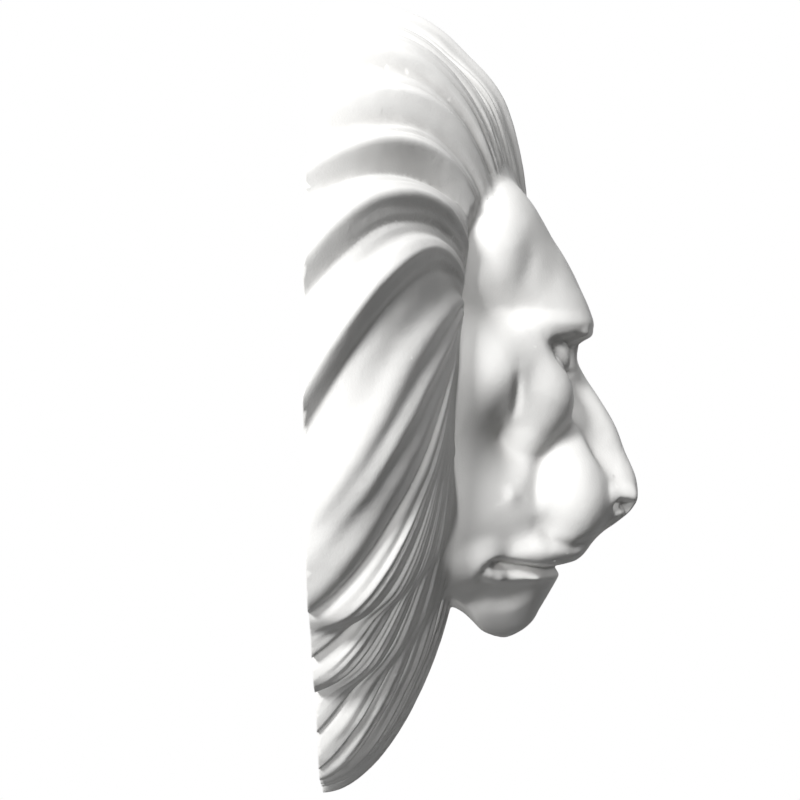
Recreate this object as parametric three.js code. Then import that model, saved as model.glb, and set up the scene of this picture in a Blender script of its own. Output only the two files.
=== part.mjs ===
// Lion head wall mask: head and mane cast in one piece, with a flat back that bears on the wall.
// Millimetres, +Z up. The lion faces -Y, its back lies on the plane Y = 0, and X = 0 is the middle.
import * as THREE from "three";

// Driving sizes of the casting
const MASK_HEIGHT = 396;
const MASK_WIDTH = 340;
const MASK_DEPTH = 157;
const SEAT_RADIUS = 60; // the flat triangle at the middle of the back, centre to corner

// Driving sizes of the mane
const LOCK_RELIEF = 8; // highest lock above its valleys
const LOCK_RELIEF_BY_WIDTH = 0.34; // relief of a narrower lock, for each millimetre of its width
const LEAST_RELIEF = 0.4; // where locks crowd together
const TUFT_STEP = 7; // the forelock stands this much above the locks behind it
const HAIR_EDGE_DROP = 26; // how steeply the mane falls back in front of the hairline
const MANE_BLEND = 4; // soft join of mane and face

// How finely the skin is laid out
const COLUMNS = 112;
const RINGS = 43;
const COLUMN_SWEEP = 20; // degrees that the columns drift down towards the rim, with the hair
const SWEEP_START = 45; // from this angle from straight ahead

// The carving is laid out on a mask of this size and keeps its place as shares of it.
// Places are (across, forward, up) from the middle of the back, at mid height.
const LAYOUT = { width: 340.6, depth: 157.5, height: 394.2 };
const CENTRE = new THREE.Vector3(0, 0, -10); // the skin is found along rays from here

const PLASTER = { color: 0xf1efea, roughness: 0.82, metalness: 0 };

const SMALL = 1e-6;
const radians = THREE.MathUtils.degToRad;
const degrees = THREE.MathUtils.radToDeg;
const clamp = THREE.MathUtils.clamp;
const smoothStep = (x) => THREE.MathUtils.smoothstep(x, 0, 1);

// The lesser of two distances, with a round join of the given size.
function smoothMin(a, b, join) {
  const overlap = Math.max(join - Math.abs(a - b), 0) / join;
  return Math.min(a, b) - (overlap * overlap * join) / 4;
}

const smoothMax = (a, b, join) => -smoothMin(-a, -b, join);

// A smooth curve through stations of [place, value]; it is level where the values turn.
class Curve {
  constructor(stations) {
    this.places = stations.map(([place]) => place);
    this.values = stations.map(([, value]) => value);
    const slopes = this.places
      .slice(1)
      .map((place, i) => (this.values[i + 1] - this.values[i]) / (place - this.places[i]));
    this.tangents = this.places.map((_, i) => {
      if (i === 0) return slopes[0];
      if (i === slopes.length) return slopes[i - 1];
      return slopes[i - 1] * slopes[i] <= 0 ? 0 : (slopes[i - 1] + slopes[i]) / 2;
    });
  }

  at(place) {
    const last = this.places.length - 1;
    const x = clamp(place, this.places[0], this.places[last]);
    let i = 0;
    while (i < last - 1 && this.places[i + 1] <= x) i += 1;
    const step = this.places[i + 1] - this.places[i];
    const u = (x - this.places[i]) / step;
    const u2 = u * u;
    const u3 = u2 * u;
    return (
      this.values[i] * (2 * u3 - 3 * u2 + 1) +
      this.tangents[i] * step * (u3 - 2 * u2 + u) +
      this.values[i + 1] * (3 * u2 - 2 * u3) +
      this.tangents[i + 1] * step * (u3 - u2)
    );
  }
}

const local = new THREE.Vector3();
const along = new THREE.Vector3();

// A rounded mass: an ellipsoid. pitch lifts its front, yaw turns its side forward, roll tips its top out.
class Mass {
  constructor(at, radii, blend, { pitch = 0, yaw = 0, roll = 0 } = {}) {
    this.at = new THREE.Vector3(...at);
    this.radii = new THREE.Vector3(...radii);
    this.blend = blend;
    const turn = new THREE.Euler(radians(pitch), radians(roll), radians(yaw), "ZXY");
    this.turnBack = new THREE.Quaternion().setFromEuler(turn).invert();
  }

  distance(point) {
    local.copy(point).sub(this.at).applyQuaternion(this.turnBack).divide(this.radii);
    const reach = local.length() + SMALL;
    const steepness = local.divide(this.radii).length() + SMALL;
    return (reach * (reach - 1)) / steepness;
  }
}

// A rounded limb: a tapered bar with ball ends.
class Limb {
  constructor(start, end, startRadius, endRadius, blend) {
    this.start = new THREE.Vector3(...start);
    this.run = new THREE.Vector3(...end).sub(this.start);
    this.startRadius = startRadius;
    this.endRadius = endRadius;
    this.blend = blend;
  }

  distance(point) {
    local.copy(point).sub(this.start);
    const t = clamp(local.dot(this.run) / this.run.lengthSq(), 0, 1);
    const radius = this.startRadius + t * (this.endRadius - this.startRadius);
    return local.addScaledVector(this.run, -t).length() - radius;
  }
}

// A soft swelling round a point.
class Dab {
  constructor(at, reach, rise) {
    this.at = new THREE.Vector3(...at);
    this.reach = new THREE.Vector3(...reach);
    this.rise = rise;
  }

  offset(point) {
    return this.rise * Math.exp(-local.copy(point).sub(this.at).divide(this.reach).lengthSq());
  }
}

// Which way a line is drawn on the skin: in space, or seen from the side or the front
const IN_SPACE = new THREE.Vector3(1, 1, 1);
const FROM_THE_SIDE = new THREE.Vector3(0, 1, 1);
const FROM_THE_FRONT = new THREE.Vector3(1, 0, 1);

// A soft ridge, or with a negative rise a groove, along a line of points, easing off at its ends.
class Stroke {
  constructor(path, width, rise, fade = 0.25, drawn = IN_SPACE) {
    this.drawn = drawn;
    this.points = path.map((place) => new THREE.Vector3(...place).multiply(drawn));
    this.width = width;
    this.rise = rise;
    this.fade = fade;
    this.lengths = this.points.slice(1).map((point, i) => point.distanceTo(this.points[i]));
    this.total = this.lengths.reduce((sum, length) => sum + length, 0);
  }

  offset(point) {
    let nearest = Infinity;
    let where = 0;
    let before = 0;
    this.lengths.forEach((length, i) => {
      along.copy(this.points[i + 1]).sub(this.points[i]);
      local.copy(point).multiply(this.drawn).sub(this.points[i]);
      const t = clamp(local.dot(along) / along.lengthSq(), 0, 1);
      const gap = local.addScaledVector(along, -t).lengthSq();
      if (gap < nearest) {
        nearest = gap;
        where = (before + t * length) / this.total;
      }
      before += length;
    });
    const ends = 0.08 + 0.92 * smoothStep(Math.min(where, 1 - where) / this.fade);
    return this.rise * ends * Math.exp(-nearest / this.width ** 2);
  }
}

// How far forward the middle of the face is, by height, from the chin up over the nose and the brow
const FACE_FRONT = new Curve([
  [-118, 95], [-110, 104.5], [-102.5, 109], [-94, 113.5], [-86, 118.5], [-81, 122], [-73.5, 131.5],
  [-66, 139], [-60, 147.5], [-54, 154.5], [-47, 157.4], [-39, 156.6], [-25, 151], [-11, 145.5],
  [0.5, 138.5], [12, 131], [20, 127], [27, 126.5], [30, 128], [33, 132], [36.5, 134], [42, 133],
  [54, 128], [66.5, 122], [78.5, 114.5], [90.5, 107], [102, 98.5], [116, 88], [128, 60], [140, 0],
]);
// How far down the underside of the jaw is, by how far forward it is
const FACE_UNDER = new Curve([
  [0, -92], [50, -96], [68, -103], [78, -112], [87, -117], [96, -118.5], [140, -118.5],
]);
const CHIN_LIFT = 9; // the jaw's underside rises this much
const CHIN_HALF = 30; // at this distance from the middle
const UNDER_DRAW = 0.6; // share of the fall-back of the face that the underside follows
const UNDER_EASE = 0.8;
const CHIN_ROUND = 5; // round join of front and underside
// Half width where the face has fallen back by CORE_FALL from its middle, by height
const CORE_FALL = 10;
const CORE_WIDTH = new Curve([
  [-120, 20], [-108, 27], [-95, 29], [-84, 27], [-76, 24], [-62, 19], [-50, 19.5], [-38, 17], [-22, 14.5],
  [0, 15], [16, 17], [26, 22], [31.5, 34], [44, 37], [60, 38], [80, 40], [110, 38],
]);
// How boxy the face's cross-section is, by height
const CORE_POWER = new Curve([
  [-120, 2.6], [-80, 2.4], [-50, 3], [-20, 2.6], [16, 2.6], [31, 4], [44, 3.6], [66, 3], [110, 2.8],
]);

const HEAD = [
  new Mass([0, 28, 28], [80, 58, 84], 20), // skull
  new Mass([34, 80, 74], [28, 22, 31], 12, { yaw: -10 }), // side of the forehead
  new Mass([49, 68, 11], [29, 30, 25], 20, { yaw: -28 }), // cheek bone
  new Limb([42, 97, 25], [56, 77, 17], 10, 13, 14), // outer corner of the eye
  new Mass([50, 55, -38], [23, 31, 44], 22, { yaw: -14 }), // side of the jaw
  new Mass([20, 100, -32], [25, 32, 28], 12), // top of the muzzle
  new Mass([34, 82, -46], [27, 36, 30], 14), // side of the muzzle
  new Limb([10, 118, 4], [15, 115, 33], 7, 7, 7), // from the nose up to the brow
  new Mass([41, 100, 3], [22, 14, 18], 12, { yaw: -56 }), // pad under the eye
  new Limb([39, 103, 0], [42, 99, -15], 12, 8, 12), // its lower tip
  new Mass([24, 114, -50], [22, 26, 22], 4, { yaw: -16 }), // whisker pad
  new Mass([12, 94, -70], [42, 33, 14], 5), // upper lip
  new Mass([49, 76, -69], [14, 13, 11], 7), // fold round the corner of the mouth
  new Mass([13, 80, -91], [26, 30, 14], 10, { yaw: -10 }), // lower jaw
];
const EYE_SOCKET = new Mass([30, 126, 22], [19, 13, 10], 3, { yaw: -44, roll: -8 });
const EYE_AND_NOSE = [
  new Mass([27, 104.5, 20], [17, 12, 16], 3, { yaw: -42 }), // eyeball and lids
  new Limb([20.5, 141, -47], [14.5, 149.5, -47.5], 3.4, 3.8, 5), // wing of the nose
];
const LINES = [
  new Dab([60, 88, 40], [26, 20, 11], -2.2), // temple
  new Dab([27, 114, 23.5], [8, 9, 5], 0.9), // swell of the eyeball
  new Stroke(
    [[44, 104, 84], [50, 98, 62], [52, 94, 42]],
    7, -1.6, 0.5, FROM_THE_SIDE,
  ), // beside the boss of the forehead
  new Stroke([[0, 0, 34], [0, 0, 48], [0, 0, 72]], 7, -2.2, 0.4, FROM_THE_FRONT), // furrow of the forehead
  new Stroke(
    [[18, 0, 12], [20, 0, -6], [21, 0, -26], [20, 0, -40]],
    5, -1.8, 0.3, FROM_THE_FRONT,
  ), // side of the nose
  new Stroke(
    [[0, 95, 18], [0, 84, -2], [0, 75, -16], [0, 70, -26]],
    8, -2.2, 0.6, FROM_THE_SIDE,
  ), // below the cheek bone
  new Dab([62, 82, -26], [30, 16, 13], -1.2), // hollow of the cheek
  new Stroke(
    [[0, 116, -21], [0, 104, -33], [0, 99, -44], [0, 100, -56]],
    4.2, -2.2, 0.35, FROM_THE_SIDE,
  ), // beside the pad
  new Stroke(
    [[0, 103, -61], [0, 110, -66.5], [0, 122, -69.5], [0, 134, -66]],
    2.8, -2.8, 0.3, FROM_THE_SIDE,
  ), // below it
  new Stroke(
    [[0, 89, -37], [0, 91, -44], [0, 88, -50]],
    3.5, 1.1, 0.5, FROM_THE_SIDE,
  ), // small bump behind the furrow
  new Stroke(
    [[0, 126, -81], [0, 119, -82.5], [0, 108, -81.5], [0, 95.5, -78], [0, 85.5, -76], [0, 80, -76.5]],
    3.2, -3, 0.1, FROM_THE_SIDE,
  ), // line of the mouth
  new Stroke(
    [[0, 86, -76], [0, 79, -77], [0, 76.5, -81], [0, 76, -88]],
    2.4, -1.8, 0.3, FROM_THE_SIDE,
  ), // its corner
  new Stroke(
    [[0, 80, -86.5], [0, 90, -86], [0, 101, -85.5], [0, 112, -84.5]],
    3.4, 1.6, 0.3, FROM_THE_SIDE,
  ), // lower lip
  new Stroke(
    [[0, 68, -96], [0, 88, -92.5], [0, 108, -88.5]],
    3.2, -2.8, 0.3, FROM_THE_SIDE,
  ), // below the lower lip
  new Stroke([[0, 0, -58], [0, 0, -80]], 2.6, -2.6, 0.2, FROM_THE_FRONT), // cleft of the upper lip
  new Stroke([[23, 141, -53], [17, 149, -52.5], [10, 154, -52.5]], 2.8, -8, 0.15), // nostril
];

// The mane's section by the angle round from the top, in degrees: rim radius, depth and boxiness
const RIM_RADIUS = new Curve([
  [0, 211.5], [11.6, 200], [22.7, 195], [28.5, 190], [34, 182], [40, 177], [47, 176], [54, 179],
  [60, 182], [67, 178], [79.7, 169], [93.5, 165], [99, 162], [105, 157], [111.8, 156], [121.6, 153],
  [129.2, 143], [140.6, 145], [148, 143], [158, 156], [166.6, 171], [176.8, 180], [180, 184.5],
]);
const MANE_DEPTH = new Curve([
  [0, 106], [20, 96], [40, 86], [60, 76], [90, 72], [120, 73], [150, 74], [165, 76], [180, 76],
]);
const MANE_POWER = new Curve([
  [0, 3], [20, 2.8], [40, 2.4], [60, 2.2], [90, 2.1], [120, 2.2], [150, 2.2], [165, 1.9], [180, 1.8],
]);
// Where the mane meets the face, in degrees from straight ahead, by the same angle
const HAIRLINE = new Curve([
  [0, 46], [20, 52], [38, 60], [50, 58], [70, 54], [90, 53], [110, 53], [130, 53], [150, 53], [180, 52.5],
]);
// Each strand is named by the angle where it reaches the rim: where it starts on the hairline, and how
// soon it turns down (under 1 it falls at once, over 1 it first stands out)
const STRAND_START = new Curve([
  [0, 0], [16, 12], [23, 17], [40, 27], [60, 39], [73, 48], [92, 54], [122, 63], [149, 70], [166, 78],
  [171, 105], [175, 140], [180, 180],
]);
const STRAND_TURN = new Curve([
  [0, 1.2], [23, 1.3], [60, 1.8], [92, 1.8], [105, 1.2], [122, 0.6], [149, 0.52], [166, 0.42], [180, 0.5],
]);
// Edges of the locks, by strand; the first lies astride the crown and the last astride the beard
const LOCK_EDGES = [-8, 8, 16, 24, 34, 47, 60, 73, 92, 122, 136, 149, 158, 166, 170.5, 174, 177, 183];
const CREASE = 0.93; // how nearly upright a crease's sides are
const SOFT_LEAN = 1.6; // soft locks lean over towards the next one below
const TUFT_WAY = 0.38; // share of the way to the rim where the forelock ends, over a tenth of it
const TUFT_SLOPE = 0.1;
const TUFT_END = 14; // strand where the forelock's step begins to fade
const TUFT_EASE = 12;
// From soft wide valleys (0) to locks that overlap with a sharp crease (1)
const LOCK_SHARPNESS = new Curve([[0, 0.9], [24, 0.9], [42, 0.1], [92, 0.1], [115, 1], [180, 1]]);

// The middle of the face, falling back to both sides, and closed below by the underside of the jaw.
function coreDistance(point) {
  const width = CORE_WIDTH.at(point.z);
  const power = CORE_POWER.at(point.z);
  const share = point.x / width;
  const fall = CORE_FALL * share ** power;
  const slope = ((CORE_FALL * power) / width) * share ** (power - 1);
  const lean = (FACE_FRONT.at(point.z + 1) - FACE_FRONT.at(point.z - 1)) / 2;
  const ahead = (point.y + fall - FACE_FRONT.at(point.z)) / Math.hypot(1, slope, lean);
  const lift = CHIN_LIFT * (point.x / CHIN_HALF) ** 2;
  const under = FACE_UNDER.at(point.y + UNDER_DRAW * fall) + lift;
  return smoothMax(ahead, (under - point.z) * UNDER_EASE, CHIN_ROUND);
}

const joined = (start, forms, point) =>
  forms.reduce((total, form) => smoothMin(total, form.distance(point), form.blend), start);

// Distance to the face's skin, negative inside. Both halves of the face are alike.
function faceDistance(place) {
  const point = new THREE.Vector3(Math.sqrt(place.x ** 2 + 1), place.y, place.z);
  const head = joined(coreDistance(point), HEAD, point);
  const hollowed = smoothMax(head, -EYE_SOCKET.distance(point), EYE_SOCKET.blend);
  const skin = joined(hollowed, EYE_AND_NOSE, point);
  return LINES.reduce((total, line) => total - line.offset(point), skin);
}

const FACE_LIMIT = radians(76); // beyond this angle from straight ahead there is only mane
const FARTHEST = 200;
const CLOSE_ENOUGH = 0.1;
const MARCH = 0.75;
const MOST_STEPS = 60;
const LAST_BAND = 1.2;
const LAST_STEPS = 12;

// How far the face reaches from the centre along a ray: inwards to its outermost skin, then halving.
function faceReach(ray) {
  const at = (reach) => faceDistance(ray.clone().multiplyScalar(reach).add(CENTRE));
  let reach = FARTHEST;
  for (let i = 0; i < MOST_STEPS && reach > 0; i += 1) {
    const gap = at(reach);
    if (gap < CLOSE_ENOUGH) break;
    reach -= gap * MARCH;
  }
  let inner = reach - LAST_BAND;
  let outer = reach + LAST_BAND;
  for (let i = 0; i < LAST_STEPS; i += 1) {
    const middle = (inner + outer) / 2;
    if (at(middle) < 0) inner = middle;
    else outer = middle;
  }
  return (inner + outer) / 2;
}

// The angle round the face where a strand is, at a share of the way from hairline to rim.
function strandAngle(strand, way) {
  const start = STRAND_START.at(strand);
  return start + (strand - start) * way ** STRAND_TURN.at(strand);
}

// Which strand passes an angle round the face, at a share of the way from hairline to rim.
function strandAt(angle, way) {
  let low = 0;
  let high = 180;
  for (let i = 0; i < 18; i += 1) {
    const strand = (low + high) / 2;
    if (strandAngle(strand, way) < angle) low = strand;
    else high = strand;
  }
  return (low + high) / 2;
}

// How wide a lock lies here, square to its strands, for a span of strands, in millimetres.
function lockWidth(strand, span, way, side, hairline) {
  const spread = strandAngle(strand + 0.5, way) - strandAngle(strand - 0.5, way);
  const drift = (strandAngle(strand, way + 0.01) - strandAngle(strand, way - 0.01)) / 0.02;
  const tilt = (side.sine * drift) / (90 - hairline);
  return (radians(spread * span) * side.reach) / Math.hypot(1, tilt);
}

// Height of a lock's crown over its mean, across its width from one edge (0) to the other (1).
function lockShape(across, sharpness, strand) {
  const lean = 1 + 0.8 * sharpness * clamp((strand - 60) / 40, 0, 1);
  const round = 2 * across ** lean - 1;
  const sharp = Math.sqrt(Math.max(1 - CREASE * round * round, 0)) - 0.6;
  const soft = -0.5 * Math.cos(2 * Math.PI * across ** SOFT_LEAN);
  return soft * (1 - sharpness) + sharp * sharpness;
}

// How far the mane reaches along the ray at an angle round from the top and one from straight ahead.
function maneReach(around, ahead) {
  const angle = degrees(around);
  const power = MANE_POWER.at(angle);
  const side = Math.sin(ahead) / RIM_RADIUS.at(angle);
  const front = Math.max(Math.cos(ahead), 0) / MANE_DEPTH.at(angle);
  const plain = 1 / (side ** power + front ** power) ** (1 / power);
  const hairline = HAIRLINE.at(angle);
  const way = (degrees(ahead) - hairline) / (90 - hairline);
  const strand = strandAt(angle, clamp(way, 1e-4, 1));
  const last = LOCK_EDGES.length - 2;
  const lock = clamp(LOCK_EDGES.findLastIndex((edge) => edge <= strand), 0, last);
  const span = LOCK_EDGES[lock + 1] - LOCK_EDGES[lock];
  const sine = Math.sin(ahead);
  const width = lockWidth(strand, span, clamp(way, 0.02, 1), { sine, reach: sine * plain }, hairline);
  const relief = clamp(LOCK_RELIEF_BY_WIDTH * width, LEAST_RELIEF, LOCK_RELIEF);
  const shape = lockShape((strand - LOCK_EDGES[lock]) / span, LOCK_SHARPNESS.at(strand), strand);
  const grown = 0.45 + 0.55 * clamp(way * 4, 0, 1);
  const inTuft = 1 - smoothStep((strand - TUFT_END) / TUFT_EASE);
  const tuft = TUFT_STEP * smoothStep((way - TUFT_WAY) / TUFT_SLOPE) * inTuft;
  const edge = HAIR_EDGE_DROP * clamp(-way * 4, 0, 1) ** 1.5;
  return plain + relief * shape * grown - tuft - edge;
}

const rayAt = (around, ahead) =>
  new THREE.Vector3(
    Math.sin(ahead) * Math.sin(around),
    Math.cos(ahead),
    Math.sin(ahead) * Math.cos(around),
  );

function skinReach(around, ahead) {
  const face = ahead < FACE_LIMIT ? faceReach(rayAt(around, ahead)) : 0;
  return smoothMax(face, maneReach(around, ahead), MANE_BLEND);
}

const SURVEY_COLUMNS = 49;
const SURVEY_RINGS = 91;
const LONGEST_STEP = 12; // a cliff in the skin takes no more rings than this much slope
const EVENING_PASSES = 6;

// Evens out a table of steps between neighbouring columns and rings.
function evened(rows) {
  const blend = (a, b, c) => (a + 2 * b + c) / 4;
  const across = rows.map((row, i) =>
    row.map((step, j) => (rows[i - 1] && rows[i + 1] ? blend(rows[i - 1][j], step, rows[i + 1][j]) : step)),
  );
  return across.map((row) =>
    row.map((step, j) => (j > 0 && j < row.length - 1 ? blend(row[j - 1], step, row[j + 1]) : step)),
  );
}

// For each surveyed column, the angles ahead that split its skin into equal lengths, one for each ring.
function surveyedRings() {
  const angles = Array.from({ length: SURVEY_RINGS }, (_, j) => (Math.PI / 2) * (j / (SURVEY_RINGS - 1)));
  let steps = Array.from({ length: SURVEY_COLUMNS }, (_, i) => {
    const around = Math.PI * (i / (SURVEY_COLUMNS - 1));
    const points = angles.map((ahead) => rayAt(around, ahead).multiplyScalar(skinReach(around, ahead)));
    return points.slice(1).map((point, j) => Math.min(point.distanceTo(points[j]), LONGEST_STEP));
  });
  for (let pass = 0; pass < EVENING_PASSES; pass += 1) steps = evened(steps);
  return steps.map((row) => {
    const run = [0];
    row.forEach((step) => run.push(run[run.length - 1] + step));
    return Array.from({ length: RINGS }, (_, ring) => {
      const wanted = (run[run.length - 1] * ring) / (RINGS - 1);
      const j = clamp(run.findLastIndex((length) => length <= wanted), 0, run.length - 2);
      const share = (wanted - run[j]) / (run[j + 1] - run[j]);
      return angles[j] + share * (angles[j + 1] - angles[j]);
    });
  });
}

// Places the skin on one half, from crown to beard, as columns of rings from the nose to the rim.
function halfSkin() {
  const surveyed = surveyedRings();
  const half = COLUMNS / 2;
  return Array.from({ length: half + 1 }, (_, column) => {
    const turn = Math.PI * (column / half);
    const survey = (column / half) * (SURVEY_COLUMNS - 1);
    const low = Math.min(Math.floor(survey), SURVEY_COLUMNS - 2);
    const share = survey - low;
    return Array.from({ length: RINGS }, (_, ring) => {
      const ahead = surveyed[low][ring] * (1 - share) + surveyed[low + 1][ring] * share;
      const sweep = radians(COLUMN_SWEEP) * smoothStep((degrees(ahead) - SWEEP_START) / (90 - SWEEP_START));
      const around = turn + sweep * Math.sin(turn);
      const place = rayAt(around, ahead).multiplyScalar(skinReach(around, ahead)).add(CENTRE);
      if (column === 0 || column === half) place.x = 0;
      if (ring === RINGS - 1) place.y = 0;
      return place;
    });
  });
}

// From a place in the layout to one on the casting.
const placed = ({ x, y, z }, side) => [
  (side * x * MASK_WIDTH) / LAYOUT.width,
  (-y * MASK_DEPTH) / LAYOUT.depth,
  (z * MASK_HEIGHT) / LAYOUT.height,
];

function maskGeometry() {
  const half = halfSkin();
  const mirrored = half.slice(1, -1).reverse();
  const columns = [
    ...half.map((column) => column.map((place) => placed(place, 1))),
    ...mirrored.map((column) => column.map((place) => placed(place, -1))),
  ];
  const nose = 0;
  const vertices = [columns[0][0]];
  const vertex = (column, ring) => 1 + (column % COLUMNS) * (RINGS - 1) + (ring - 1);
  columns.forEach((column) => vertices.push(...column.slice(1)));
  const triangles = [];
  for (let column = 0; column < COLUMNS; column += 1) {
    triangles.push([nose, vertex(column + 1, 1), vertex(column, 1)]);
    for (let ring = 1; ring < RINGS - 1; ring += 1) {
      const a = vertex(column, ring);
      const b = vertex(column + 1, ring);
      const c = vertex(column + 1, ring + 1);
      const d = vertex(column, ring + 1);
      triangles.push([a, b, c], [a, c, d]);
    }
  }
  triangles.push(...backTriangles(vertices, vertex));
  return new THREE.BufferGeometry()
    .setAttribute("position", new THREE.Float32BufferAttribute(vertices.flat(), 3))
    .setIndex(triangles.flat());
}

// The flat back: a seat triangle round the origin, and the rest of the back out to the rim.
function backTriangles(vertices, vertex) {
  const rim = Array.from({ length: COLUMNS }, (_, column) => vertex(column, RINGS - 1));
  const seat = [90, 210, 330].map((angle) => {
    const corner = [SEAT_RADIUS * Math.cos(radians(angle)), 0, SEAT_RADIUS * Math.sin(radians(angle))];
    return vertices.push(corner) - 1;
  });
  const flat = (index) => new THREE.Vector2(vertices[index][0], vertices[index][2]);
  const all = [...rim, ...seat];
  const faces = THREE.ShapeUtils.triangulateShape(rim.map(flat), [seat.map(flat)]);
  const outward = ([a, b, c]) => {
    const [p, q, r] = [a, b, c].map(flat);
    return q.sub(p).cross(r.sub(p)) > 0 ? [a, c, b] : [a, b, c];
  };
  return [...faces.map((face) => outward(face.map((i) => all[i]))), outward(seat)];
}

const mask = new THREE.Mesh(maskGeometry(), new THREE.MeshStandardMaterial(PLASTER));
mask.name = "lion_mask";

const group = new THREE.Group();
group.add(mask);

export default group;
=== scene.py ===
"""Dressed model of a lion head wall mask, cast in white plaster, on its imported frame.

The head and mane are carved as forms in millimetres, laid out as (across, forward, up) from the
middle of the back at mid height. They are found along rays from a centre on the wall, so the skin
is one closed sheet that ends on the flat back. The frame carries the same forms more coarsely, with
wider and shallower lines and a slightly earlier shape of the face.
"""
import logging
import math
from dataclasses import dataclass, field
from enum import Enum

import bpy
import numpy as np
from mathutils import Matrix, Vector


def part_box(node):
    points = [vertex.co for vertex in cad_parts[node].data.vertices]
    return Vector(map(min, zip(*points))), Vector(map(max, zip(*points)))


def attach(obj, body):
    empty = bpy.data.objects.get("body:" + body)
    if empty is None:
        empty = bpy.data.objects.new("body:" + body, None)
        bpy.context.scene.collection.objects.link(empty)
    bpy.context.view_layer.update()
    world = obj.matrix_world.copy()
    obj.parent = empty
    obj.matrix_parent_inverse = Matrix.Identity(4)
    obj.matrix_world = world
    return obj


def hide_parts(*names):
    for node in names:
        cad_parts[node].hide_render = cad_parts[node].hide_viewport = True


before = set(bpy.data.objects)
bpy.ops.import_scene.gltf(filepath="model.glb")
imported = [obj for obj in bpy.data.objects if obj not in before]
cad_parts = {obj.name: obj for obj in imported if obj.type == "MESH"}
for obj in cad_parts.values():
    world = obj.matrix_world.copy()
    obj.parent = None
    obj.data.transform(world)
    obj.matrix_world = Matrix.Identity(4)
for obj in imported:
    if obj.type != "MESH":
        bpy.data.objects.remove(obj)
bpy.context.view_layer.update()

METRES = 0.001
SMALL = 1e-6
ENDS_KEPT = 0.08  # share of a stroke's rise that is left at its ends
FACES_BACK = 0.99  # a face whose normal has more than this along +Y belongs to the flat back
LOG = logging.getLogger("lion_mask")

Stations = tuple[tuple[float, float], ...]
Place = tuple[float, float, float]


class Side(Enum):
    """Which half of the mask a point lies on."""

    RIGHT = 1
    LEFT = -1


class Drawn(Enum):
    """How a line is drawn on the skin: how much each direction counts in the distance from it."""

    IN_SPACE = (1.0, 1.0, 1.0)
    FROM_THE_SIDE = (0.0, 1.0, 1.0)
    FROM_THE_FRONT = (1.0, 0.0, 1.0)


def smooth_min(a: np.ndarray, b: np.ndarray, join: float) -> np.ndarray:
    """Take the lesser of two distances with a round join.

    Args:
        a: First distances.
        b: Second distances.
        join: Size of the round join.

    Returns:
        The joined distances.
    """
    overlap = np.maximum(join - np.abs(a - b), 0.0) / join
    return np.minimum(a, b) - overlap * overlap * join / 4


def smooth_max(a: np.ndarray, b: np.ndarray, join: float) -> np.ndarray:
    """Take the greater of two distances with a round join.

    Args:
        a: First distances.
        b: Second distances.
        join: Size of the round join.

    Returns:
        The joined distances.
    """
    return -smooth_min(-a, -b, join)


def smooth_step(share: np.ndarray) -> np.ndarray:
    """Ease from 0 to 1 over a share that runs from 0 to 1.

    Args:
        share: Where each point is on the way.

    Returns:
        The eased shares.
    """
    x = np.clip(share, 0, 1)
    return x * x * (3 - 2 * x)


@dataclass(frozen=True)
class Curve:
    """A smooth curve through stations of (place, value), level where the values turn."""

    stations: Stations

    def at(self, place: np.ndarray) -> np.ndarray:
        """Read the curve.

        Args:
            place: Where to read it.

        Returns:
            The values there.
        """
        places = np.array([station[0] for station in self.stations], float)
        values = np.array([station[1] for station in self.stations], float)
        slopes = np.diff(values) / np.diff(places)
        tangents = np.concatenate([slopes[:1], (slopes[1:] + slopes[:-1]) / 2, slopes[-1:]])
        tangents[1:-1][slopes[1:] * slopes[:-1] <= 0] = 0
        x = np.clip(place, places[0], places[-1])
        i = np.clip(np.searchsorted(places, x, side="right") - 1, 0, len(places) - 2)
        step = places[i + 1] - places[i]
        u = (x - places[i]) / step
        u2, u3 = u * u, u * u * u
        low = values[i] * (2 * u3 - 3 * u2 + 1) + tangents[i] * step * (u3 - 2 * u2 + u)
        return low + values[i + 1] * (3 * u2 - 2 * u3) + tangents[i + 1] * step * (u3 - u2)


@dataclass(frozen=True)
class Mass:
    """A rounded mass: pitch lifts its front, yaw turns its side forward, roll tips its top out."""

    at: Place
    radii: Place
    blend: float  # size of the round join to what is already there
    pitch: float = 0.0
    yaw: float = 0.0
    roll: float = 0.0

    def turn(self) -> np.ndarray:
        """Work out how the mass is turned.

        Returns:
            The mass's own axes, as the columns of a matrix.
        """
        p, y, r = (math.radians(angle) for angle in (self.pitch, self.yaw, self.roll))
        lift = np.array([[1, 0, 0], [0, math.cos(p), -math.sin(p)], [0, math.sin(p), math.cos(p)]])
        swing = np.array([[math.cos(y), -math.sin(y), 0], [math.sin(y), math.cos(y), 0], [0, 0, 1]])
        tip = np.array([[math.cos(r), 0, math.sin(r)], [0, 1, 0], [-math.sin(r), 0, math.cos(r)]])
        return (swing @ lift @ tip).astype(np.float32)

    def distance(self, points: np.ndarray) -> np.ndarray:
        """Measure how far points are from the mass.

        Args:
            points: Places, one a row.

        Returns:
            Distances, negative inside.
        """
        local = (points - np.array(self.at, np.float32)) @ self.turn() / np.array(self.radii, np.float32)
        reach = np.linalg.norm(local, axis=1) + SMALL
        steepness = np.linalg.norm(local / np.array(self.radii, np.float32), axis=1) + SMALL
        return reach * (reach - 1) / steepness


@dataclass(frozen=True)
class Limb:
    """A tapered bar with ball ends."""

    start: Place
    end: Place
    start_radius: float
    end_radius: float
    blend: float

    def distance(self, points: np.ndarray) -> np.ndarray:
        """Measure how far points are from the limb.

        Args:
            points: Places, one a row.

        Returns:
            Distances, negative inside.
        """
        start = np.array(self.start, np.float32)
        run = np.array(self.end, np.float32) - start
        t = np.clip(((points - start) @ run) / float(run @ run), 0, 1)
        gap = np.linalg.norm(points - start - t[:, None] * run, axis=1)
        return gap - (self.start_radius + t * (self.end_radius - self.start_radius))


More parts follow.
